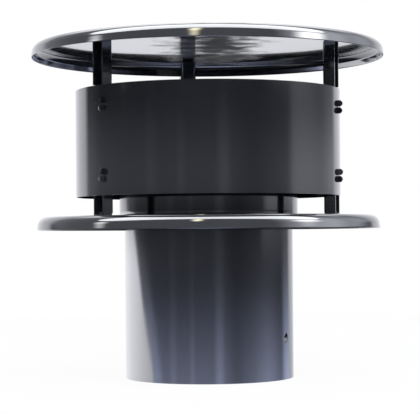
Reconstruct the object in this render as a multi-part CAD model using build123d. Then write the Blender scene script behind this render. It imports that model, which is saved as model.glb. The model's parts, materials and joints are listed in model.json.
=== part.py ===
from build123d import *

import os
from math import cos, degrees, radians, sin, sqrt

# A static roof vent cap of sheet steel: a round flue pipe carries two pressed discs,
# and a short wind ring stands between them on three folded legs.
# Millimetres, +Z up. The origin is on the pipe's axis, at its open lower end.
# Angles about the axis are counted from the front (-Y), positive towards +X.

# Sheet
pipe_sheet = 0.8
disc_sheet = 1.0
ring_sheet = 0.8
leg_sheet = 1.5

# Flue pipe: a plain spigot below, and above the lower disc a wider head with a flat shoulder
pipe_diameter = 160.0
spigot_length = 153.0
head_step = 5.0
head_height = 58.0
shoulder_bend = 0.7
shoulder_root_bend = 0.5
bead_inner_radius = 1.7
bead_clearance = 0.2
dimple_diameter = 9.0
dimple_depth = 1.4
dimple_height = 39.0
dimple_angle = 63.0

# Wind ring: the passage between the head and the ring sets its width
air_gap = 40.0
ring_height = 100.0
ring_above_lower_disc = 18.6
seam_lap = 14.0
seam_angle = 150.0

# Discs: flat plates with a rounded rim turned down, its trimmed edge rounded over
lower_disc_overhang = 37.2
top_disc_overhang = 41.7
top_disc_above_ring = 43.4
rim_bend = 7.5
rim_wall = 4.0
disc_hole_clearance = 0.6

# Legs: channels that open outwards, with a seat cut back for the ring
# and a foot at each end turned out between the flanges
leg_facing = 9.75
leg_half_spread = 61.4
leg_width = 15.6
leg_depth = 11.4
leg_bend = 1.0
leg_end_gap = 0.4
leg_seat_clearance = 0.1
ring_seat_depth = 2.0
ring_seat_gap = 0.3
foot_length = 10.0
foot_corner = 2.0

# Lock tabs: each leg's tabs pass through the ring and split into two ears bent apart
tab_height = 12.4
tab_inset = 18.0
tab_notch = 0.8
tab_bend = 0.6
tab_angle = 16.0
ear_length = 4.0
ear_corner = 1.8
tab_clearance = 0.3
slot_clearance = 0.2

# Rivets through the feet
rivet_diameter = 4.0
rivet_head_diameter = 8.0
rivet_head_height = 1.3
rivet_tail_diameter = 6.0
rivet_tail_height = 1.6
rivet_clearance = 0.1

# Radii and heights worked out from the sizes above
pipe_radius = pipe_diameter / 2
pipe_hole_radius = pipe_radius + disc_hole_clearance
head_radius = pipe_radius + head_step
ring_inner_radius = head_radius + air_gap
ring_outer_radius = ring_inner_radius + ring_sheet
lower_disc_radius = ring_outer_radius + lower_disc_overhang
top_disc_radius = ring_outer_radius + top_disc_overhang
lower_plate_top = spigot_length
ring_bottom = lower_plate_top + ring_above_lower_disc
ring_top = ring_bottom + ring_height
top_plate_bottom = ring_top + top_disc_above_ring
top_plate_top = top_plate_bottom + disc_sheet

# A leg's own frame has +X outwards along its radius and +Y towards larger angles
leg_angles = {
    "leg_front_left": leg_facing - leg_half_spread,
    "leg_front_right": leg_facing + leg_half_spread,
    "leg_back": leg_facing + 180,
}
leg_outer_bend = leg_bend + leg_sheet
flange_edge = sqrt(ring_inner_radius**2 - (leg_width / 2) ** 2) - leg_seat_clearance
leg_edge = flange_edge + ring_seat_depth
web_inner = leg_edge - leg_depth
web_outer = web_inner + leg_sheet
foot_root = web_outer + leg_bend
foot_width = leg_width - 2 * leg_outer_bend
rivet_place = foot_root + foot_length / 2
rivet_hole_radius = rivet_diameter / 2 + rivet_clearance
rivet_grip = disc_sheet + leg_sheet
tab_heights = [ring_bottom + tab_inset, ring_top - tab_inset]
tab_middle = (leg_width - leg_sheet) / 2


def at_angle(angle):
    """Turn a piece from the +X radius to an angle counted from the front."""
    return Rot(0, 0, angle - 90)


def turned(*edges):
    """Revolve a closed outline of radius and height about the axis."""
    return revolve(Plane.XZ * make_face(edges), Axis.Z)


def flue_pipe():
    """Tube with a bead under the lower disc's plate and a shouldered head above it."""
    inner = pipe_radius - pipe_sheet
    bead_radius = bead_inner_radius + pipe_sheet
    bead_middle = lower_plate_top - disc_sheet - bead_clearance - bead_radius
    bead_mouth = sqrt(bead_inner_radius**2 - pipe_sheet**2)
    root = shoulder_root_bend
    root_height = lower_plate_top - root
    edge = shoulder_bend + pipe_sheet
    edge_height = lower_plate_top + edge
    mouth = lower_plate_top + head_height
    shoulder_top = lower_plate_top + pipe_sheet
    wall = turned(
        Line((inner, 0), (pipe_radius, 0)),
        Line((pipe_radius, 0), (pipe_radius, bead_middle - bead_radius)),
        CenterArc((pipe_radius, bead_middle), bead_radius, -90, 180),
        Line((pipe_radius, bead_middle + bead_radius), (pipe_radius, root_height)),
        CenterArc((pipe_radius + root, root_height), root, 180, -90),
        Line((pipe_radius + root, lower_plate_top), (head_radius - edge, lower_plate_top)),
        CenterArc((head_radius - edge, edge_height), edge, -90, 90),
        Line((head_radius, edge_height), (head_radius, mouth)),
        Line((head_radius, mouth), (head_radius - pipe_sheet, mouth)),
        Line((head_radius - pipe_sheet, mouth), (head_radius - pipe_sheet, edge_height)),
        CenterArc((head_radius - edge, edge_height), shoulder_bend, 0, -90),
        Line((head_radius - edge, shoulder_top), (pipe_radius + root, shoulder_top)),
        CenterArc((pipe_radius + root, root_height), root + pipe_sheet, 90, 90),
        Line((inner, root_height), (inner, bead_middle + bead_mouth)),
        ThreePointArc(
            (inner, bead_middle + bead_mouth),
            (pipe_radius + bead_inner_radius, bead_middle),
            (inner, bead_middle - bead_mouth),
        ),
        Line((inner, bead_middle - bead_mouth), (inner, 0)),
    )
    half = dimple_diameter / 2
    punch_radius = (half**2 + dimple_depth**2) / (2 * dimple_depth)
    punch_place = pipe_radius - dimple_depth + punch_radius
    punch = at_angle(dimple_angle) * Pos(punch_place, 0, dimple_height)
    core = Pos(0, 0, spigot_length / 2) * Cylinder(pipe_radius - pipe_sheet / 2, spigot_length)
    bump = core & (punch * Sphere(punch_radius + pipe_sheet))
    return wall + bump - punch * Sphere(punch_radius)


def pressed_disc(radius, plate_top, hole_radius=0.0):
    """Flat plate with a rounded rim turned down and its edge rounded over."""
    bend = rim_bend + disc_sheet
    bend_height = plate_top - bend
    edge = disc_sheet / 2
    edge_height = bend_height - rim_wall + edge
    disc = turned(
        Line((hole_radius, plate_top), (radius - bend, plate_top)),
        CenterArc((radius - bend, bend_height), bend, 90, -90),
        Line((radius, bend_height), (radius, edge_height)),
        CenterArc((radius - edge, edge_height), edge, 0, -180),
        Line((radius - disc_sheet, edge_height), (radius - disc_sheet, bend_height)),
        CenterArc((radius - bend, bend_height), rim_bend, 0, 90),
        Line((radius - bend, plate_top - disc_sheet), (hole_radius, plate_top - disc_sheet)),
        Line((hole_radius, plate_top - disc_sheet), (hole_radius, plate_top)),
    )
    drill = Pos(rivet_place, 0, plate_top) * Cylinder(rivet_hole_radius, 2 * rivet_grip)
    for angle in leg_angles.values():
        disc -= at_angle(angle) * drill
    return disc


def wind_ring():
    """Rolled sheet ring with a lap seam at the back and a slot for each lock tab."""
    ring = turned(*Polyline(
        (ring_inner_radius, ring_bottom),
        (ring_outer_radius, ring_bottom),
        (ring_outer_radius, ring_top),
        (ring_inner_radius, ring_top),
        close=True,
    ).edges())
    lap_place = Pos(ring_outer_radius + ring_sheet / 2, ring_bottom + ring_height / 2)
    lap_section = Plane.XZ * lap_place * Rectangle(ring_sheet, ring_height)
    lap_turn = degrees(seam_lap / ring_outer_radius)
    ring += at_angle(seam_angle) * revolve(lap_section, Axis.Z, lap_turn)
    slot = Box(leg_depth, leg_sheet + 2 * slot_clearance, tab_height + 2 * slot_clearance)
    for angle in leg_angles.values():
        for height in tab_heights:
            ring -= at_angle(angle) * Pos(ring_outer_radius, tab_middle, height) * slot
    return ring


def lock_tab():
    """Tab on the flange's edge, split by a notch into an upper and a lower ear bent apart."""
    ring_face = sqrt(ring_outer_radius**2 - tab_middle**2)
    bend_start = ring_face + tab_clearance
    stub_root = flange_edge - leg_sheet
    stub_length = bend_start - stub_root
    stub = Pos(stub_root + stub_length / 2, tab_middle, 0) * Box(stub_length, leg_sheet, tab_height)
    half = leg_sheet / 2
    turn = radians(tab_angle)
    centre = (bend_start, half + tab_bend)
    outer = tab_bend + leg_sheet
    along = (ear_length * cos(turn), ear_length * sin(turn))
    near = (centre[0] + tab_bend * sin(turn), centre[1] - tab_bend * cos(turn))
    far = (centre[0] + outer * sin(turn), centre[1] - outer * cos(turn))
    near_end = (near[0] + along[0], near[1] + along[1])
    far_end = (far[0] + along[0], far[1] + along[1])
    plan = make_face([
        Line((bend_start, half), (bend_start, -half)),
        CenterArc(centre, outer, -90, tab_angle),
        Line(far, far_end),
        Line(far_end, near_end),
        Line(near_end, near),
        CenterArc(centre, tab_bend, tab_angle - 90, -tab_angle),
    ])
    ear_height = (tab_height - tab_notch) / 2
    ear = Pos(0, 0, tab_notch / 2) * extrude(plan, ear_height)
    across = Vector(cos(turn), sin(turn), 0)
    tip = ear.faces().sort_by(lambda face: face.center().dot(across))[-1]
    corners = [edge for edge in tip.edges() if abs(edge.tangent_at(0.5).Z) < 0.5]
    ear = chamfer(corners, ear_corner)
    upper = Pos(0, tab_middle, 0) * ear
    lower = Pos(0, tab_middle, 0) * Rot(180, 0, 0) * ear
    return stub + upper + lower


def leg(angle):
    """Folded channel with a seat for the ring, a foot at each end and two lock tabs."""
    bottom = lower_plate_top
    height = top_plate_bottom - bottom
    middle = bottom + height / 2
    outside = Pos((web_inner + leg_edge) / 2, 0) * Rectangle(leg_depth, leg_width)
    outside = fillet(outside.vertices().group_by(Axis.X)[0], leg_outer_bend)
    inside = Pos(web_outer + leg_depth / 2, 0) * Rectangle(leg_depth, leg_width - 2 * leg_sheet)
    inside = fillet(inside.vertices().group_by(Axis.X)[0], leg_bend)
    channel_height = height - 2 * leg_outer_bend
    body = Pos(0, 0, bottom + leg_outer_bend) * extrude(outside - inside, channel_height)
    flange_root = web_inner + leg_outer_bend
    flange = Box(leg_edge - flange_root, leg_sheet, height - 2 * leg_end_gap)
    for side in (-1, 1):
        body += Pos((leg_edge + flange_root) / 2, side * tab_middle, middle) * flange
    seat_height = ring_height + 2 * ring_seat_gap
    seat = Box(2 * ring_seat_depth, 2 * leg_width, seat_height)
    body -= Pos(leg_edge, 0, ring_bottom + ring_height / 2) * seat
    foot_end = foot_root + foot_length
    foot_side = make_face([
        Line((web_inner, leg_outer_bend), (web_outer, leg_outer_bend)),
        CenterArc((foot_root, leg_outer_bend), leg_bend, 180, 90),
        Line((foot_root, leg_sheet), (foot_end, leg_sheet)),
        Line((foot_end, leg_sheet), (foot_end, 0)),
        Line((foot_end, 0), (foot_root, 0)),
        CenterArc((foot_root, leg_outer_bend), leg_outer_bend, -90, -90),
    ])
    foot = extrude(Plane.XZ * foot_side, foot_width / 2, both=True)
    foot = fillet(foot.edges().filter_by(Axis.Z).group_by(Axis.X)[-1], foot_corner)
    foot -= Pos(rivet_place, 0, 0) * Cylinder(rivet_hole_radius, 2 * rivet_grip)
    body += Pos(0, 0, bottom) * foot
    body += Pos(0, 0, top_plate_bottom) * Rot(180, 0, 0) * foot
    for tab_place in tab_heights:
        body += Pos(0, 0, tab_place) * lock_tab()
    return at_angle(angle) * body


def rivets(plate_face, head_up):
    """One domed rivet through each foot, with its head on the plate's free face."""
    shank = rivet_diameter / 2
    head = rivet_head_diameter / 2
    tail = rivet_tail_diameter / 2
    tail_end = -rivet_grip - rivet_tail_height
    eighth = radians(45)
    rivet = turned(
        ThreePointArc(
            (0, rivet_head_height),
            (head * sin(eighth), rivet_head_height * cos(eighth)),
            (head, 0),
        ),
        Line((head, 0), (shank, 0)),
        Line((shank, 0), (shank, -rivet_grip)),
        Line((shank, -rivet_grip), (tail, -rivet_grip)),
        Line((tail, -rivet_grip), (tail, tail_end)),
        Line((tail, tail_end), (0, tail_end)),
        Line((0, tail_end), (0, rivet_head_height)),
    )
    seat = Pos(rivet_place, 0, plate_face) * Rot(0 if head_up else 180, 0, 0)
    return Compound([at_angle(angle) * seat * rivet for angle in leg_angles.values()])


pieces = {
    "flue_pipe": flue_pipe(),
    "lower_disc": pressed_disc(lower_disc_radius, lower_plate_top, pipe_hole_radius),
    "wind_ring": wind_ring(),
    "top_disc": pressed_disc(top_disc_radius, top_plate_top),
    "lower_disc_rivets": rivets(lower_plate_top - disc_sheet, head_up=False),
    "top_disc_rivets": rivets(top_plate_top, head_up=True),
}
for leg_name, leg_angle in leg_angles.items():
    pieces[leg_name] = leg(leg_angle)

os.makedirs("parts", exist_ok=True)
for name, piece in pieces.items():
    export_step(piece, f"parts/{name}.step")
    print(name, round(piece.volume), "mm3")
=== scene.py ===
# %% [markdown]
# # A roof vent cap in graphite enamel
# The real cap is a flue pipe that carries two pressed discs, with a short wind ring between them.
# It is all thin steel sheet under glossy dark enamel, so nearly everything the eye sees on it is a
# reflection. Two things matter most: surfaces smooth enough to reflect well, and a believable room.
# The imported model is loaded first. It is the fixed frame, and every surface below is drawn over it.

# %% Load the frame
import json
from math import asin, degrees, pi, radians

import bmesh
import bpy
import numpy as np
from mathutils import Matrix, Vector


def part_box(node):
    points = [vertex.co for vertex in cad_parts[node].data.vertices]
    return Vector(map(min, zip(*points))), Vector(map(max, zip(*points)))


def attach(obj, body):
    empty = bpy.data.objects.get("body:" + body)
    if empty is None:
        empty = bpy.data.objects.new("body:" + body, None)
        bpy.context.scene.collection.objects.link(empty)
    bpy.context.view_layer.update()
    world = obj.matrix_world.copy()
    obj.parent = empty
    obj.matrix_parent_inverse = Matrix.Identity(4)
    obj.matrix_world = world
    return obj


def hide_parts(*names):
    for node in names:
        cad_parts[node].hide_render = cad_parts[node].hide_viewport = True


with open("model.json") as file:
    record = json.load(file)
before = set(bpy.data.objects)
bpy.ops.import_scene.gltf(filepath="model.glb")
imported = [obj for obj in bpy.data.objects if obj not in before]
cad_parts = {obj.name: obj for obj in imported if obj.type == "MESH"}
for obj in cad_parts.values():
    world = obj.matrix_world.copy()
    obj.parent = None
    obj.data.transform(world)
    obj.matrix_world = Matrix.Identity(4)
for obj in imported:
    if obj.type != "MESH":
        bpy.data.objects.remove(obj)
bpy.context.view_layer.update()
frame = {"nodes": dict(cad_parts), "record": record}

print("nodes:", sorted(frame["nodes"]))

# %% [markdown]
# ## Sizes
# The frame knows the outer sizes: a node's box gives a disc's radius and heights, and the spigot mount
# gives the pipe's radius. What a box can't tell, such as a sheet's thickness or a bend's radius, is
# written once where it is first needed, in millimetres, with the same values as the solids have.

# %% Read the sizes
MM = 0.001

pipe_sheet = 0.8 * MM
disc_sheet = 1.0 * MM
ring_sheet = 0.8 * MM

pipe_radius = frame["record"]["mounts"][0]["dims"]["r_mm"] * MM
pipe_low, pipe_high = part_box("flue_pipe")
lower_low, lower_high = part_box("lower_disc")
ring_low, ring_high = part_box("wind_ring")
top_low, top_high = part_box("top_disc")
print("pipe", pipe_radius / MM, "ring", ring_high.x / MM, "top disc", top_high.x / MM)

# %% [markdown]
# ## Sheet metal as two grids of points
# Every big piece here is one sheet, bent or pressed. A sheet can be drawn as a single surface that a
# Solidify modifier thickens, but then the cut edges and slots are left to the modifier. Here both
# faces are worked out with numpy instead: a section path is carried round the axis, a second path lies
# one sheet thickness beside it, and wherever the sheet ends, a wall joins the two faces.

# %% Paths in the section plane
SAME_POINT = 1e-7


def straight(start, end, count):
    """A line as points: (1 - t) * start + t * end, with t evenly spaced from 0 to 1."""
    t = np.linspace(0, 1, count)[:, None]
    return (1 - t) * np.array(start) + t * np.array(end)


def arc(centre, radius, start, turn, count):
    """An arc as points: centre + radius * (cos a, sin a), with a from start through turn, in degrees."""
    a = np.radians(np.linspace(start, start + turn, count))
    return np.column_stack((centre[0] + radius * np.cos(a), centre[1] + radius * np.sin(a)))


def joined(*runs):
    """Several runs as one path. A point that two runs share is kept once."""
    path = np.vstack(runs)
    step = np.linalg.norm(np.diff(path, axis=0), axis=1)
    return path[np.r_[True, step > SAME_POINT]]


def beside(path, distance):
    """The same path moved along its normals, which are the mean of the two unit tangents turned left."""
    unit = np.diff(path, axis=0)
    unit /= np.linalg.norm(unit, axis=1)[:, None]
    tangent = np.vstack((unit[:1], unit[:-1] + unit[1:], unit[-1:]))
    tangent /= np.linalg.norm(tangent, axis=1)[:, None]
    return path + distance * np.column_stack((-tangent[:, 1], tangent[:, 0]))


def turned(path, angles):
    """A path of radius and height carried round the axis: x = r sin a, y = -r cos a, z = h."""
    radius, height = path.T
    x = np.outer(np.sin(angles), radius)
    y = -np.outer(np.cos(angles), radius)
    return np.stack((x, y, np.broadcast_to(height, x.shape)), axis=-1)


# %% Close two grids into one sheet
SHARP_ANGLE = radians(40)


def linked_piece(name, mesh):
    """Shade a mesh smooth between its sharp edges and put it in the scene."""
    mesh.shade_smooth()
    mesh.set_sharp_from_angle(angle=SHARP_ANGLE)
    piece = bpy.data.objects.new(name, mesh)
    bpy.context.scene.collection.objects.link(piece)
    return piece


def sheet_piece(name, outside, inside, kept=None):
    """A closed sheet from two grids of one shape: angles round the axis, then points along the path.
    A kept cell is a quad on both faces. An edge that only one kept cell has is the sheet's border, and
    a wall quad there joins the two faces. Points that coincide at a pole are merged."""
    around, along = outside.shape[:2]
    count = around * along
    index = np.arange(count).reshape(around, along)
    beyond = np.roll(index, -1, axis=0)
    cells = np.stack((index[:, :-1], beyond[:, :-1], beyond[:, 1:], index[:, 1:]), axis=-1)
    cells = cells.reshape(-1, 4) if kept is None else cells[kept]
    points = np.concatenate((outside.reshape(-1, 3), inside.reshape(-1, 3)))

    starts = cells.ravel()
    ends = np.roll(cells, -1, axis=1).ravel()
    border = ~np.isin(starts * count + ends, ends * count + starts)
    border &= np.linalg.norm(points[starts] - points[ends], axis=1) > SAME_POINT
    a, b = starts[border], ends[border]
    walls = np.column_stack((b, a, a + count, b + count))
    faces = np.concatenate((cells, cells[:, ::-1] + count, walls))

    mesh = bpy.data.meshes.new(name)
    mesh.from_pydata(points.tolist(), [], faces.tolist())
    work = bmesh.new()
    work.from_mesh(mesh)
    bmesh.ops.remove_doubles(work, verts=work.verts, dist=SAME_POINT)
    volume = work.calc_volume(signed=True)
    work.to_mesh(mesh)
    work.free()
    print(name, len(mesh.polygons), "faces,", round(volume * 1e6, 1), "cm3 of steel")
    return linked_piece(name, mesh)


# %% [markdown]
# ## How true is sheet metal?
# Rolled and pressed sheet is never quite true. A tenth of a millimetre can't be seen as shape, but a
# glossy coat turns it into streaks on the rolled pieces and a blotchy mirror under the top disc. A few
# sine waves are enough: along the angle alone for rolled sheet, and across the plane for a plate.

# %% Small errors of real sheet
def rolled_error(angles, waves):
    """How far a rolled sheet is off its circle: the sum of size * sin(count * a + start) over waves."""
    return sum(size * np.sin(count * angles + radians(start)) for count, size, start in waves)


def plate_error(x, y, waves):
    """How far a plate is off flat: the sum of size * sin(2 pi * way / length + start) over the waves,
    where way is the distance along the wave's own direction."""
    error = np.zeros_like(x)
    for direction, length, size, start in waves:
        way = x * np.cos(radians(direction)) + y * np.sin(radians(direction))
        error += size * np.sin(2 * pi * way / length + radians(start))
    return error


def pushed_out(grid, distance):
    """Move points away from the axis by a distance: x and y each grow by distance / radius."""
    radius = np.linalg.norm(grid[..., :2], axis=-1)
    moved = grid.copy()
    moved[..., :2] *= (1 + distance / radius)[..., None]
    return moved


# %% [markdown]
# ## The flue pipe
# The pipe is one tube: a plain spigot below, a rolled bead under the lower disc's plate, a flat shoulder
# on top of it, and a wider head above. It could be lathed with Blender's Screw modifier. A path of
# lines and arcs does the same, and lets the small pressed dimple be taken off the radius as a formula.

# %% The pipe's section
bead_inner_radius = 1.7 * MM
bead_clearance = 0.2 * MM
root_bend = 0.5 * MM
shoulder_bend = 0.7 * MM
dimple_angle = 63.0
dimple_height = 39.0 * MM
dimple_radius = 4.5 * MM
dimple_depth = 1.4 * MM

head_radius = pipe_high.x
seat = lower_high.z
bead_radius = bead_inner_radius + pipe_sheet
bead_height = seat - disc_sheet - bead_clearance - bead_radius
edge_bend = shoulder_bend + pipe_sheet
dimple_reach = 1.5 * dimple_radius
dimple_low = dimple_height - dimple_reach
dimple_high = dimple_height + dimple_reach
pipe_path = joined(
    straight((pipe_radius, pipe_low.z), (pipe_radius, dimple_low), 12),
    straight((pipe_radius, dimple_low), (pipe_radius, dimple_high), 28),
    straight((pipe_radius, dimple_high), (pipe_radius, bead_height - bead_radius), 24),
    arc((pipe_radius, bead_height), bead_radius, -90, 180, 17),
    straight((pipe_radius, bead_height + bead_radius), (pipe_radius, seat - root_bend), 2),
    arc((pipe_radius + root_bend, seat - root_bend), root_bend, 180, -90, 6),
    straight((pipe_radius + root_bend, seat), (head_radius - edge_bend, seat), 4),
    arc((head_radius - edge_bend, seat + edge_bend), edge_bend, -90, 90, 8),
    straight((head_radius, seat + edge_bend), (head_radius, pipe_high.z), 16),
)
print(len(pipe_path), "points on the pipe's path")

# %% The pipe's sheet
pipe_step = 1.5             # degrees between two lines of the grid
pipe_waves = ((9, 0.05 * MM, 40), (16, 0.03 * MM, 200), (27, 0.015 * MM, 75))


def punch_mark(angles, heights):
    """Depth of the dimple: depth * (1 - (d / r)^2)^2 within its radius r, and nothing outside it."""
    across = pipe_radius * (angles[:, None] - radians(dimple_angle))
    squared = (across**2 + (heights[None, :] - dimple_height) ** 2) / dimple_radius**2
    return dimple_depth * np.clip(1 - squared, 0, None) ** 2


dimple_turn = dimple_reach / pipe_radius
pipe_angles = np.union1d(
    np.radians(np.arange(0, 360, pipe_step)),
    radians(dimple_angle) + np.linspace(-dimple_turn, dimple_turn, 25),
)
pipe_change = rolled_error(pipe_angles, pipe_waves)[:, None] - punch_mark(pipe_angles, pipe_path[:, 1])
flue_pipe = sheet_piece(
    "flue_pipe_sheet",
    pushed_out(turned(pipe_path, pipe_angles), pipe_change),
    pushed_out(turned(beside(pipe_path, pipe_sheet), pipe_angles), pipe_change),
)

# %% [markdown]
# ## The pressed discs
# Each disc is a flat plate whose rim is drawn down over a round edge. The wall below the bend leans out
# a little, as a pressed wall must to leave its die, and that lean decides which part of the room it
# shows. Both faces start at the bottom of the rounded lip, so there the two grids meet in one line.

# %% The discs' section
rim_bend = 7.5 * MM
rim_lean = 8.0
plate_start = 0.5 * MM      # a first short cell keeps the bend's shading off the flat plate
hole_clearance = 0.6 * MM


def disc_face(low, high, inner_edge, side):
    """One face of a disc's section: lip, wall, bend and plate. The side is 1 outside and -1 inside: the
    face lies half a sheet from the middle line, so its bend has the middle radius plus side * half."""
    half = disc_sheet / 2
    lean = radians(rim_lean)
    out = np.array((np.cos(lean), np.sin(lean)))
    up = np.array((-np.sin(lean), np.cos(lean)))
    middle = rim_bend + half
    lip = np.array((high.x - half, low.z + half))
    rise = high.z - half - lip[1] - middle * (1 - np.sin(lean))
    wall_top = lip + up * rise / np.cos(lean)
    centre = wall_top - middle * out
    offset = side * half * out
    bend = middle + side * half
    flat = centre + (0, bend)
    return joined(
        arc(lip, half, rim_lean - 90, side * 90, 9),
        straight(lip + offset, wall_top + offset, 6),
        arc(centre, bend, rim_lean, 90 - rim_lean, 29),
        straight(flat, flat - (plate_start, 0), 2),
        straight(flat - (plate_start, 0), (inner_edge, flat[1]), 80),
    )


# %% How the plates are off flat
disc_step = 1.25
disc_angles = np.radians(np.arange(0, 360, disc_step))
plate_fade = 25.0 * MM
top_waves = ((20, 190 * MM, 0.10 * MM, 30), (95, 140 * MM, 0.06 * MM, 120))
lower_waves = ((70, 160 * MM, 0.08 * MM, 0), (10, 110 * MM, 0.05 * MM, 60))
buckle_waves = (
    (80, 34 * MM, 0.06 * MM, 20),
    (118, 47 * MM, 0.07 * MM, 200),
    (52, 26 * MM, 0.03 * MM, 75),
)
buckle_place = (12 * MM, -15 * MM)
buckle_reach = 42 * MM


def buckled(x, y, share):
    """Ripples near the plate's middle: the waves times exp(-(d / reach)^2), d from their own centre."""
    squared = (x - buckle_place[0]) ** 2 + (y - buckle_place[1]) ** 2
    return share * plate_error(x, y, buckle_waves) * np.exp(-squared / buckle_reach**2)


# %% The discs' sheets
def pressed_disc(name, low, high, inner_edge, waves, buckle):
    """A disc whose plate is slightly wavy: its error is scaled by f^2 * (3 - 2 f), where f falls evenly
    from 1 to 0 on the way to the rim's bend."""
    faces = []
    for side in (1, -1):
        grid = turned(disc_face(low, high, inner_edge, side), disc_angles).copy()
        x, y = grid[..., 0], grid[..., 1]
        fade = np.clip((high.x - 2 * rim_bend - np.hypot(x, y)) / plate_fade, 0, 1)
        error = plate_error(x, y, waves) + buckled(x, y, buckle)
        grid[..., 2] += error * fade**2 * (3 - 2 * fade)
        faces.append(grid)
    return sheet_piece(name, *faces)


hole_radius = pipe_radius + hole_clearance
top_disc = pressed_disc("top_disc_sheet", top_low, top_high, 0.0, top_waves, 1.0)
lower_disc = pressed_disc("lower_disc_sheet", lower_low, lower_high, hole_radius, lower_waves, 0.0)

# %% [markdown]
# ## The wind ring
# The ring is a strip rolled into a hoop. At the back its two ends lap, and each leg's lock tabs come
# through slots in it. Cutting slots with a Boolean modifier works, but leaves long thin faces. Here the
# grid has lines exactly along the slots' edges, and the cells inside a slot are simply left out.

# %% The ring's grid and slots
leg_angles = (-51.65, 71.15, 189.75)
tab_inset = 18.0 * MM
tab_offset = 7.05 * MM
slot_width = 1.9 * MM
slot_height = 12.8 * MM
seam_angle = 150.0
seam_lap = 14.0 * MM
seam_step = 0.02            # degrees in which the outer face steps up over the lap
ring_step = 1.25
ring_rows = 30

ring_radius = ring_high.x
slot_sides = [degrees(asin((tab_offset + side * slot_width / 2) / ring_radius)) for side in (-1, 1)]
slot_turns = [[(angle + side) % 360 for side in slot_sides] for angle in leg_angles]
tab_heights = (ring_low.z + tab_inset, ring_high.z - tab_inset)
slot_heights = [(middle - slot_height / 2, middle + slot_height / 2) for middle in tab_heights]
seam_turn = degrees(seam_lap / ring_radius)
seam_lines = [seam_angle + turn + step for turn in (0, seam_turn) for step in (0, seam_step)]

even_turns = np.arange(0, 360, ring_step)
even_heights = np.linspace(ring_low.z, ring_high.z, ring_rows)
ring_degrees = np.unique(np.concatenate((even_turns, np.ravel(slot_turns), seam_lines)))
ring_heights = np.union1d(even_heights, np.ravel(slot_heights))
middle_turn = ring_degrees + np.diff(ring_degrees, append=360) / 2
middle_height = ring_heights[:-1] + np.diff(ring_heights) / 2
in_turn = np.any([(a < middle_turn) & (middle_turn < b) for a, b in slot_turns], axis=0)
in_height = np.any([(a < middle_height) & (middle_height < b) for a, b in slot_heights], axis=0)
ring_kept = ~np.outer(in_turn, in_height)
print("ring grid", ring_kept.shape, "with", int((~ring_kept).sum()), "cells cut out for slots")

# %% The ring's sheet
ring_waves = ((7, 0.06 * MM, 15), (13, 0.04 * MM, 100), (22, 0.02 * MM, 310))
ring_path = np.column_stack((np.full_like(ring_heights, ring_radius), ring_heights))
ring_angles = np.radians(ring_degrees)
ring_change = np.repeat(rolled_error(ring_angles, ring_waves)[:, None], len(ring_heights), axis=1)
in_seam = (ring_degrees > seam_lines[0]) & (ring_degrees < seam_lines[3])
wind_ring = sheet_piece(
    "wind_ring_sheet",
    pushed_out(turned(ring_path, ring_angles), ring_change + ring_sheet * in_seam[:, None]),
    pushed_out(turned(beside(ring_path, ring_sheet), ring_angles), ring_change),
    ring_kept,
)

# %% [markdown]
# ## Legs and rivets
# A leg is a folded channel with two feet and split lock tabs, all flat faces and tight bends, so the
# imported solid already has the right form. What it lacks is the softened edge of cut, painted sheet,
# which is what catches the light. A merged copy with its flat faces made whole takes a Bevel modifier.

# %% Ease the edges of the folded legs
MERGE_DISTANCE = 1e-6
FLAT_ANGLE = radians(0.3)


def eased_copy(name, node, width):
    """A copy of a CAD node as one joined mesh, with every edge sharper than the limit rounded off."""
    work = bmesh.new()
    work.from_mesh(frame["nodes"][node].data)
    bmesh.ops.remove_doubles(work, verts=work.verts, dist=MERGE_DISTANCE)
    bmesh.ops.dissolve_limit(work, angle_limit=FLAT_ANGLE, verts=work.verts, edges=work.edges)
    mesh = bpy.data.meshes.new(name)
    work.to_mesh(mesh)
    work.free()
    piece = linked_piece(name, mesh)
    bevel = piece.modifiers.new("eased edges", "BEVEL")
    bevel.width = width
    bevel.segments = 2
    bevel.limit_method = "ANGLE"
    bevel.angle_limit = SHARP_ANGLE
    bevel.harden_normals = True
    print(name, len(mesh.polygons), "faces before the bevel")
    return piece


# %% Say which CAD node each piece stands for
edge_round = 0.3 * MM
dressed = {
    "flue_pipe": flue_pipe,
    "lower_disc": lower_disc,
    "wind_ring": wind_ring,
    "top_disc": top_disc,
}
for node in ("leg_front_left", "leg_front_right", "leg_back"):
    dressed[node] = eased_copy(f"{node}_channel", node, edge_round)
for node in ("lower_disc_rivets", "top_disc_rivets"):
    dressed[node] = eased_copy(f"{node}_domed", node, edge_round / 2)
for node, piece in dressed.items():
    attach(piece, "root")
    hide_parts(node)
print(len(dressed), "pieces ride on root")

# %% [markdown]
# ## Graphite enamel
# The finish is a stoved enamel: a dark blue-grey pigment coat that levels out to a hard gloss. To the
# eye it gives almost no colour of its own, sharp reflections that grow strong at a slant, and close up
# a faint orange peel. Each of these is a few nodes: a slow drift of colour, a slow drift of roughness,
# and a bump. On rolled sheet the bump also holds faint upright streaks from the rollers. Under the top
# plate, above the flue's mouth, a matt patch is painted over the gloss to take its mirror away: a painted
# dark reflection.

# %% Colours and nodes
def linear_colour(code):
    """An sRGB hex colour as linear RGBA: c / 12.92 up to 0.04045, else ((c + 0.055) / 1.055) ** 2.4."""
    srgb = np.array([int(code[i:i + 2], 16) for i in (1, 3, 5)]) / 255
    linear = np.where(srgb <= 0.04045, srgb / 12.92, ((srgb + 0.055) / 1.055) ** 2.4)
    return (*linear.tolist(), 1.0)


def add_node(tree, kind, settings=None):
    """Add a node to a tree. A setting that is another node's output is linked in. Any other fills the
    input socket of that name or number, or else sets the property of that name."""
    node = tree.nodes.new(kind)
    for name, value in (settings or {}).items():
        if isinstance(value, bpy.types.NodeSocket):
            tree.links.new(value, node.inputs[name])
        elif isinstance(name, int) or name in node.inputs:
            node.inputs[name].default_value = value
        else:
            setattr(node, name, value)
    return node


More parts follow.
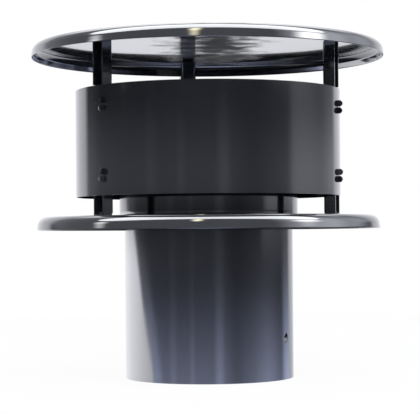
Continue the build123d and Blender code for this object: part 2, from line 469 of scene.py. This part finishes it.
# %% Mix the enamel
ENAMEL_DARK = "#191a1e"
ENAMEL_LIGHT = "#1f2125"
ENAMEL_IOR = 1.6            # pigment and resin together bend light more than clear resin alone
GLOSSIEST, DULLEST = 0.08, 0.13
NOISE_LOW, NOISE_HIGH = 0.3, 0.7    # nearly all of a noise lies between these
SKIN_ROUGHNESS = 0.04
DRIFT_SIZE = 60 * MM
PEEL_SIZE = 4 * MM          # real orange peel is nearer 1 mm, which is too fine to show at this size
PEEL_DEPTH = 0.004 * MM
STREAK_WIDTH = 7 * MM
STREAK_DEPTH = 0.04 * MM
STREAK_RUN = (1.0, 1.0, 0.02)    # a streak is fifty times as long as it is wide


def graphite_enamel(name, streak):
    """Stoved gloss enamel: dark pigment under a clear levelled skin. The streak is how strongly the
    marks of the rollers show through, from 0 on pressed pieces to 1 on rolled ones. The shader node is
    returned beside the material, so that more can be laid over it."""
    material = bpy.data.materials.new(name)
    material.use_nodes = True
    tree = material.node_tree
    tree.nodes.clear()
    place = add_node(tree, "ShaderNodeTexCoord").outputs["Object"]
    drift = add_node(
        tree, "ShaderNodeTexNoise", {"Scale": 1 / DRIFT_SIZE, "Detail": 3.0, "Vector": place}
    ).outputs["Fac"]
    # a Mix node has its colours at inputs 6 and 7, its plain numbers at 2 and 3, its colour output at 2
    pigments = {6: linear_colour(ENAMEL_DARK), 7: linear_colour(ENAMEL_LIGHT)}
    colour = add_node(tree, "ShaderNodeMix", {"data_type": "RGBA", 0: drift, **pigments}).outputs[2]
    gloss = add_node(
        tree,
        "ShaderNodeMapRange",
        {
            "Value": drift,
            "From Min": NOISE_LOW,
            "From Max": NOISE_HIGH,
            "To Min": GLOSSIEST,
            "To Max": DULLEST,
        },
    ).outputs["Result"]
    peel = add_node(
        tree, "ShaderNodeTexNoise", {"Scale": 1 / PEEL_SIZE, "Detail": 1.0, "Vector": place}
    ).outputs["Fac"]
    upright = add_node(tree, "ShaderNodeMapping", {"Scale": STREAK_RUN, "Vector": place}).outputs[0]
    streaks = add_node(
        tree, "ShaderNodeTexNoise", {"Scale": 1 / STREAK_WIDTH, "Detail": 2.0, "Vector": upright}
    ).outputs["Fac"]
    rolled = add_node(
        tree, "ShaderNodeBump", {"Strength": streak, "Distance": STREAK_DEPTH, "Height": streaks}
    ).outputs["Normal"]
    relief = add_node(
        tree,
        "ShaderNodeBump",
        {"Strength": 1.0, "Distance": PEEL_DEPTH, "Height": peel, "Normal": rolled},
    ).outputs["Normal"]
    paint = add_node(
        tree,
        "ShaderNodeBsdfPrincipled",
        {
            "Base Color": colour,
            "Roughness": gloss,
            "IOR": ENAMEL_IOR,
            "Normal": relief,
            "Coat Weight": 1.0,
            "Coat Roughness": SKIN_ROUGHNESS,
            "Coat IOR": ENAMEL_IOR,
            "Coat Normal": relief,
        },
    )
    add_node(tree, "ShaderNodeOutputMaterial", {"Surface": paint.outputs["BSDF"]})
    return material, paint


rolled_enamel, _ = graphite_enamel("graphite_enamel_on_rolled_sheet", 1.0)
pressed_enamel, _ = graphite_enamel("graphite_enamel_on_pressed_sheet", 0.0)
# this copy of the enamel carries the painted dark reflection under the top plate
enamel_with_painted_reflection, paint_under_painted_reflection = graphite_enamel("graphite_enamel_with_painted_dark_reflection", 0.0)
print("enamels:", rolled_enamel.name, pressed_enamel.name, enamel_with_painted_reflection.name)

# %% Paint a dark reflection under the top plate as a matt patch
# a painted dark reflection: a lighter, matt, low-shine patch that takes the mirror away under the top
# plate
PAINTED_REFLECTION_COLOUR = "#3c3d42"
PAINTED_REFLECTION_ROUGHNESS = 0.7
PAINTED_REFLECTION_SHINE = 0.1
PAINTED_REFLECTION_SHARE = 0.95
PAINTED_REFLECTION_OFFSET = (-6 * MM, 0.0, 0.0)
PAINTED_REFLECTION_STRETCH = (1.0, 0.2, 0.0)    # a band that is five times as long from front to back as it is wide
PAINTED_REFLECTION_FULL = 50 * MM
PAINTED_REFLECTION_END = 98 * MM
WISP_SIZE = 20 * MM
WISP_REACH = 80 * MM
PLATE_BAND = 0.45 * disc_sheet    # the wavy underside stays this near its height, the upper face doesn't


def painted_reflection_share(tree):
    """How strongly the painted dark reflection covers the gloss: a smooth step down from the flue's axis
    outwards, made ragged by noise, on the underside of the top plate only."""
    place = add_node(tree, "ShaderNodeTexCoord").outputs["Object"]
    spread = add_node(
        tree, "ShaderNodeMapping", {"Location": PAINTED_REFLECTION_OFFSET, "Scale": PAINTED_REFLECTION_STRETCH, "Vector": place}
    ).outputs["Vector"]
    far_off = add_node(tree, "ShaderNodeVectorMath", {"operation": "LENGTH", 0: spread}).outputs["Value"]
    wisps = add_node(
        tree, "ShaderNodeTexNoise", {"Scale": 1 / WISP_SIZE, "Detail": 3.0, "Vector": place}
    ).outputs["Fac"]
    ragged = add_node(
        tree, "ShaderNodeMath", {"operation": "MULTIPLY_ADD", 0: wisps, 1: WISP_REACH, 2: far_off}
    ).outputs[0]
    reflection_dimming = add_node(
        tree,
        "ShaderNodeMapRange",
        {
            "interpolation_type": "SMOOTHSTEP",
            "Value": ragged,
            "From Min": PAINTED_REFLECTION_FULL,
            "From Max": PAINTED_REFLECTION_END,
            "To Min": PAINTED_REFLECTION_SHARE,
            "To Max": 0.0,
        },
    ).outputs["Result"]
    height = add_node(tree, "ShaderNodeSeparateXYZ", {0: place}).outputs["Z"]
    underside = {1: top_high.z - disc_sheet, 2: PLATE_BAND}
    under = add_node(tree, "ShaderNodeMath", {"operation": "COMPARE", 0: height, **underside}).outputs[0]
    return add_node(tree, "ShaderNodeMath", {"operation": "MULTIPLY", 0: reflection_dimming, 1: under}).outputs[0]


def dull_for_painted_reflection(paint, painted_reflection):
    """Blend a paint to the matt look of the painted dark reflection: each value becomes (1 - share) * the
    paint's + share * the patch's, where the share is how strongly the painted dark reflection covers it.
    """
    tree = paint.id_data
    colour, gloss = (paint.inputs[name].links[0].from_socket for name in ("Base Color", "Roughness"))
    shine = paint.inputs["Specular IOR Level"].default_value
    skin = paint.inputs["Coat Weight"].default_value
    matt = linear_colour(PAINTED_REFLECTION_COLOUR)
    blends = {
        "Base Color": {"data_type": "RGBA", 0: painted_reflection, 6: colour, 7: matt},
        "Roughness": {0: painted_reflection, 2: gloss, 3: PAINTED_REFLECTION_ROUGHNESS},
        "Specular IOR Level": {0: painted_reflection, 2: shine, 3: PAINTED_REFLECTION_SHINE},
        "Coat Weight": {0: painted_reflection, 2: skin, 3: 0.0},
    }
    for name, blend in blends.items():
        mix = add_node(tree, "ShaderNodeMix", blend)
        tree.links.new(mix.outputs[2 if "data_type" in blend else 0], paint.inputs[name])


# lay the painted dark reflection over the enamel under the top plate
dull_for_painted_reflection(paint_under_painted_reflection, painted_reflection_share(enamel_with_painted_reflection.node_tree))
print("nodes under the film:", len(enamel_with_painted_reflection.node_tree.nodes))

# %% Paint every piece
enamels = {"flue_pipe": rolled_enamel, "wind_ring": rolled_enamel, "top_disc": enamel_with_painted_reflection}
for node, piece in dressed.items():
    piece.data.materials.clear()
    piece.data.materials.append(enamels.get(node, pressed_enamel))
print("enamel on", len(dressed), "pieces")

# %% [markdown]
# ## The floor
# The cap stands on white paper. A lit sheet would need so much light to turn white that the enamel would
# look grey, so nearly all of the paper's white is its own, and a small lit share keeps a breath of the
# shadow. Glossy paint sees through it to the room, whose table is worked out with the rest below.

# %% Lay the floor
FLOOR_COLOUR = "#fafafa"
SHADOW_SHARE = 0.04
WHITE = (1.0, 1.0, 1.0, 1.0)
floor_radius = 1.2
floor_step = 5

floor_angles = np.radians(np.arange(0, 360, floor_step))
floor_points = turned(np.array(((floor_radius, 0.0),)), floor_angles)[:, 0]
floor_mesh = bpy.data.meshes.new("floor")
floor_mesh.from_pydata(floor_points.tolist(), [], [range(len(floor_points))])
floor = linked_piece("floor", floor_mesh)

paper = bpy.data.materials.new("matt_white_paper")
paper.use_nodes = True
paper_tree = paper.node_tree
paper_tree.nodes.clear()
lit = add_node(paper_tree, "ShaderNodeBsdfDiffuse", {"Color": linear_colour(FLOOR_COLOUR)}).outputs[0]
plain = add_node(paper_tree, "ShaderNodeEmission", {"Color": WHITE, "Strength": 1.0}).outputs[0]
clear = add_node(paper_tree, "ShaderNodeBsdfTransparent").outputs[0]
paper_rays = add_node(paper_tree, "ShaderNodeLightPath").outputs
share = add_node(
    paper_tree,
    "ShaderNodeMath",
    {"operation": "MULTIPLY", 0: paper_rays["Is Camera Ray"], 1: 1 - SHADOW_SHARE},
).outputs[0]
facing = add_node(paper_tree, "ShaderNodeMixShader", {0: share, 1: lit, 2: plain}).outputs[0]
paper_look = add_node(
    paper_tree, "ShaderNodeMixShader", {0: paper_rays["Is Glossy Ray"], 1: facing, 2: clear}
).outputs[0]
add_node(paper_tree, "ShaderNodeOutputMaterial", {"Surface": paper_look})
floor.data.materials.append(paper)
print("floor", len(floor_points), "corners")

# %% [markdown]
# ## The room
# Glossy paint shows the whole room: white paper behind, a brighter stretch of it low on the left, a table
# that gleams in front, and between table and wall a dark gap where the room is deep. The usual way is an
# image of a studio wrapped round the scene. Here the world works the room out from a ray's direction,
# its shares to the right, to the back and upward, so it needs no file and each patch moves by a number.
#
# The sum is long, so it is written as a list of steps before any node is made. A step has a name, a kind
# of arithmetic, and what goes in: earlier steps by name, or plain numbers. SMOOTH takes a value, where
# it starts, where it ends and a height. With t the way from start to end, held between 0 and 1, it gives
# (3 t^2 - 2 t^3) * height.

# %% The white paper behind
paper_steps = (
    # where it ends: further back on the right, nearer overhead, and nearer low down on the left
    ("leftward", "MULTIPLY", "to_right", -1.0),
    ("to_left", "MAXIMUM", "leftward", 0.0),
    ("rightward", "MAXIMUM", "to_right", 0.0),
    ("right_edge", "MULTIPLY", "rightward", -0.2),
    ("not_high", "MINIMUM", "upward", 0.02),
    ("low", "MAXIMUM", "not_high", -0.09),
    ("under_eye", "SUBTRACT", 0.018, "low"),
    ("near_level", "SMOOTH", "upward", -0.12, -0.10, 1.0),
    ("lean", "MULTIPLY", "under_eye", "to_left", "near_level", 7.0),
    ("overhead", "SMOOTH", "upward", 0.60, 0.95, 0.5),
    ("edge", "ADD", "to_back", "lean", "overhead", "right_edge"),
    ("paper_wall", "SMOOTH", "edge", 0.56, 0.69, 1.0),
    # how bright it is: dimmer on the right, and brighter low down on the left
    ("low_light", "SMOOTH", "upward", 0.03, -0.02, 2.6),
    ("low_left", "MULTIPLY", "to_left", "to_left", "near_level", "low_light"),
    ("paper_level", "ADD", "low_left", "right_edge", 1.0),
    ("behind", "MULTIPLY", "paper_wall", "paper_level"),
)
print(len(paper_steps), "steps for the paper")


# %% The table, and stripes such as windows and posts
def stripe_steps(name, value, middle, half, gain):
    """A smooth bump as three steps: the gain where the value is the middle, 0 from half a width away."""
    return (
        (f"{name}_off", "SUBTRACT", value, middle),
        (f"{name}_away", "ABSOLUTE", f"{name}_off"),
        (name, "SMOOTH", f"{name}_away", half, 0.0, gain),
    )


front_steps = (
    *stripe_steps("window", "to_right", 0.23, 0.15, 0.7),
    *stripe_steps("left_window", "to_right", -0.40, 0.09, 0.3),
    *stripe_steps("right_post", "to_right", 1.0, 0.14, 0.4),
    *stripe_steps("left_post", "to_right", -0.75, 0.10, 0.3),
    *stripe_steps("doorway", "to_right", 0.62, 0.30, -0.35),
    ("stripes", "ADD", "window", "left_window", "right_post", "left_post", "doorway", 1.0),
    # the table gleams more the lower the ray, as far as its near edge
    ("downward", "MULTIPLY", "upward", -1.0),
    ("below", "MAXIMUM", "downward", 0.0),
    ("on_table", "SMOOTH", "upward", -0.130, -0.105, 1.0),
    ("nearer", "SMOOTH", "to_back", 0.4, -0.1, 0.5),
    ("front_fall", "ADD", "nearer", 0.5),
    ("table", "MULTIPLY", "below", "below", "on_table", "front_fall", 180.0),
    # a low band over the dark gap is the room's far side, and a line in the gap the table's far edge
    ("over_gap", "SMOOTH", "upward", 0.010, 0.035, 0.26),
    ("under_dark", "SMOOTH", "upward", 0.095, 0.035, 1.0),
    ("horizon", "MULTIPLY", "over_gap", "under_dark"),
    *stripe_steps("table_edge", "upward", -0.008, 0.030, 0.10),
    ("front_level", "ADD", "table", "horizon", "table_edge", 0.04),
    ("front", "MULTIPLY", "front_level", "stripes"),
    # beside the paper, the room and above all the table take a little of its white
    ("by_paper", "SMOOTH", "edge", 0.22, 0.45, 1.0),
    ("by_gleam", "MULTIPLY", "below", 11.0),
    ("by_level", "ADD", "by_gleam", 0.06),
    ("beside_paper", "MULTIPLY", "by_paper", "by_level", "on_table"),
)
print(len(front_steps), "steps for the table and the front")

# %% The walls, and the light from underfoot
wall_steps = (
    # the wall on the right, dimmer higher up
    ("back_part", "MULTIPLY", "to_back", 0.4),
    ("right_way", "ADD", "to_right", "back_part"),
    ("right_end", "SMOOTH", "right_way", 0.80, 0.92, 0.62),
    ("right_foot", "SMOOTH", "upward", -0.02, 0.03, 1.0),
    ("right_dim", "SMOOTH", "upward", 0.10, 0.03, 0.45),
    ("right_head", "ADD", "right_dim", 0.55),
    ("right_wall", "MULTIPLY", "right_end", "front_fall", "right_foot", "right_head"),
    # the walls above, brightest high on the right
    ("up_part", "MULTIPLY", "upward", 0.35),
    ("high_way", "ADD", "to_right", "up_part"),
    ("high_right", "SMOOTH", "high_way", 0.75, 1.0, 4.5),
    ("high_near", "SMOOTH", "to_back", 0.35, 0.0, 0.6),
    ("high_fall", "ADD", "high_near", 0.4),
    ("high_gain", "MULTIPLY", "high_right", "high_fall"),
    ("high_level", "ADD", "high_gain", 1.0),
    ("high_start", "SMOOTH", "upward", 0.095, 0.15, 0.46),
    ("high_wall", "MULTIPLY", "high_start", "high_level"),
    # the pale table underfoot: steeply down, and not towards the back or the sides
    ("steep", "SMOOTH", "upward", -0.25, -0.50, 1.0),
    ("forward", "SMOOTH", "to_back", 0.5, 0.1, 1.0),
    *stripe_steps("ahead", "to_right", 0.0, 0.5, 2.5),
    ("underfoot", "MULTIPLY", "steep", "forward", "ahead"),
    # all of it: the paper hides what is behind it
    ("not_paper", "SUBTRACT", 1.0, "paper_wall"),
    ("rest", "ADD", "front", "beside_paper", "high_wall", "right_wall"),
    ("open_room", "MULTIPLY", "not_paper", "rest"),
    ("brightness", "ADD", "behind", "open_room", "underfoot"),
    ("table_share", "SMOOTH", "upward", 0.0, -0.06, 1.0),
)
print(len(wall_steps), "steps for the walls")

# %% Put the room round it
ROOM_TINT = "#e8ebf6"
TABLE_TINT = "#cfdaff"
PAPER_TINT = "#f3f4fa"

world = bpy.data.worlds.new("studio_room")
bpy.context.scene.world = world
world.use_nodes = True
room_tree = world.node_tree
room_tree.nodes.clear()
direction = add_node(room_tree, "ShaderNodeTexCoord").outputs["Generated"]
way = add_node(room_tree, "ShaderNodeSeparateXYZ", {0: direction}).outputs
worked_out = {"to_right": way["X"], "to_back": way["Y"], "upward": way["Z"]}
for name, arithmetic, *parts in (*paper_steps, *front_steps, *wall_steps):
    first, *others = (worked_out.get(part, part) for part in parts)
    if arithmetic == "SMOOTH":
        ends = dict(zip(("From Min", "From Max", "To Max"), others))
        smooth = {"interpolation_type": "SMOOTHSTEP", "Value": first, **ends}
        first = add_node(room_tree, "ShaderNodeMapRange", smooth).outputs["Result"]
    elif not others:
        first = add_node(room_tree, "ShaderNodeMath", {"operation": arithmetic, 0: first}).outputs[0]
    else:
        # a Math node takes two numbers, so more are taken in one after another
        for other in others:
            pair = {"operation": arithmetic, 0: first, 1: other}
            first = add_node(room_tree, "ShaderNodeMath", pair).outputs[0]
    worked_out[name] = first

room_tints = {6: linear_colour(ROOM_TINT), 7: linear_colour(TABLE_TINT), 0: worked_out["table_share"]}
table_tint = add_node(room_tree, "ShaderNodeMix", {"data_type": "RGBA", **room_tints}).outputs[2]
paper_tints = {6: table_tint, 7: linear_colour(PAPER_TINT), 0: worked_out["paper_wall"]}
tint = add_node(room_tree, "ShaderNodeMix", {"data_type": "RGBA", **paper_tints}).outputs[2]
seen = add_node(
    room_tree, "ShaderNodeBackground", {"Color": tint, "Strength": worked_out["brightness"]}
).outputs[0]
blank = add_node(room_tree, "ShaderNodeBackground", {"Color": WHITE, "Strength": 1.0}).outputs[0]
from_camera = add_node(room_tree, "ShaderNodeLightPath").outputs["Is Camera Ray"]
room_look = add_node(room_tree, "ShaderNodeMixShader", {0: from_camera, 1: seen, 2: blank}).outputs[0]
add_node(room_tree, "ShaderNodeOutputWorld", {"Surface": room_look})
print("world nodes:", len(room_tree.nodes))

# %% [markdown]
# ## Lamps and camera
# A plain fill lamp lights the paint's own colour. The other lamps are seen in the gloss only, as a studio
# sets light and reflections apart with flags. A long soft box overhead draws the white line round both
# rims, and a fainter ceiling behind it widens that line on the top rim. Three small lamps leave the
# glints: one on each side and a warm one over the camera. They stand above the ring's level, so that the
# upright walls stay dark. The camera is fitted to the ellipses of the discs: a long lens about one and
# a half metres away, at about the height of the lower disc.

# %% Hang the lamps
FACE_MIDDLE = (0.5, 0.5, 0.0)    # a lamp's face runs from 0 to 1 both ways
FACE_RIM = 0.5


def lamp(name, place, width, height, radiance, colour, edge, lights):
    """A lamp aimed at the ring's top, of power radiance * pi * width * height. Its face is full bright
    inside the edge and dims smoothly to nothing at half a width from the middle. It either lights the
    paint's own colour or is seen in the gloss."""
    light = bpy.data.lights.new(name, "AREA")
    light.shape = "RECTANGLE"
    light.size = width
    light.size_y = height
    light.energy = radiance * pi * width * height
    light.color = linear_colour(colour)[:3]
    light.use_nodes = True
    tree = light.node_tree
    tree.nodes.clear()
    face = add_node(tree, "ShaderNodeNewGeometry").outputs["Parametric"]
    away = add_node(
        tree, "ShaderNodeVectorMath", {"operation": "DISTANCE", 0: face, 1: FACE_MIDDLE}
    ).outputs["Value"]
    dimmed = add_node(
        tree,
        "ShaderNodeMapRange",
        {
            "interpolation_type": "SMOOTHSTEP",
            "Value": away,
            "From Min": edge,
            "From Max": FACE_RIM,
            "To Min": 1.0,
            "To Max": 0.0,
        },
    ).outputs["Result"]
    glow = add_node(tree, "ShaderNodeEmission", {"Strength": dimmed}).outputs[0]
    add_node(tree, "ShaderNodeOutputLight", {"Surface": glow})
    holder = bpy.data.objects.new(name, light)
    aim = Vector((0, 0, ring_high.z)) - Vector(place)
    holder.location = place
    holder.rotation_euler = aim.to_track_quat("-Z", "Y").to_euler()
    holder.visible_diffuse = lights
    holder.visible_glossy = not lights
    bpy.context.scene.collection.objects.link(holder)
    return holder


lamps = [
    lamp("fill", (0.0, -1.2, 1.6), 1.5, 1.5, 5.0, "#ffffff", 0.3, True),
    lamp("soft_box", (0.0, -0.33, 1.8), 5.2, 1.5, 7.0, "#f8faff", 0.45, False),
    lamp("ceiling", (0.0, 1.15, 1.7), 3.4, 1.1, 1.5, "#f8faff", 0.2, False),
    lamp("lamp_left", (-2.15, -0.6, 0.85), 0.6, 0.8, 7.0, "#ffffff", 0.0, False),
    lamp("lamp_right", (2.11, -0.84, 1.1), 1.25, 1.1, 8.0, "#ffffff", 0.1, False),
    lamp("lamp_front", (-0.105, -0.8, 0.79), 0.16, 0.7, 12.0, "#fff6d2", 0.0, False),
]
print(len(lamps), "lamps")

# %% Aim the camera
IMAGE_WIDTH = 420
FOCAL_PIXELS = 1554
HORIZON_BELOW_MIDDLE = 30
CAMERA_ROLL = 0.45
CAMERA_PLACE = (1.2 * MM, -1484 * MM, 133.2 * MM)

camera_data = bpy.data.cameras.new("camera")
camera_data.sensor_fit = "HORIZONTAL"
camera_data.lens = camera_data.sensor_width * FOCAL_PIXELS / IMAGE_WIDTH
camera_data.shift_y = HORIZON_BELOW_MIDDLE / IMAGE_WIDTH
camera = bpy.data.objects.new("camera", camera_data)
camera.location = CAMERA_PLACE
camera.rotation_euler = (radians(90), radians(CAMERA_ROLL), 0)
bpy.context.scene.collection.objects.link(camera)
bpy.context.scene.camera = camera
bpy.context.scene.view_settings.view_transform = "Standard"
print("lens", round(camera_data.lens, 1), "mm")
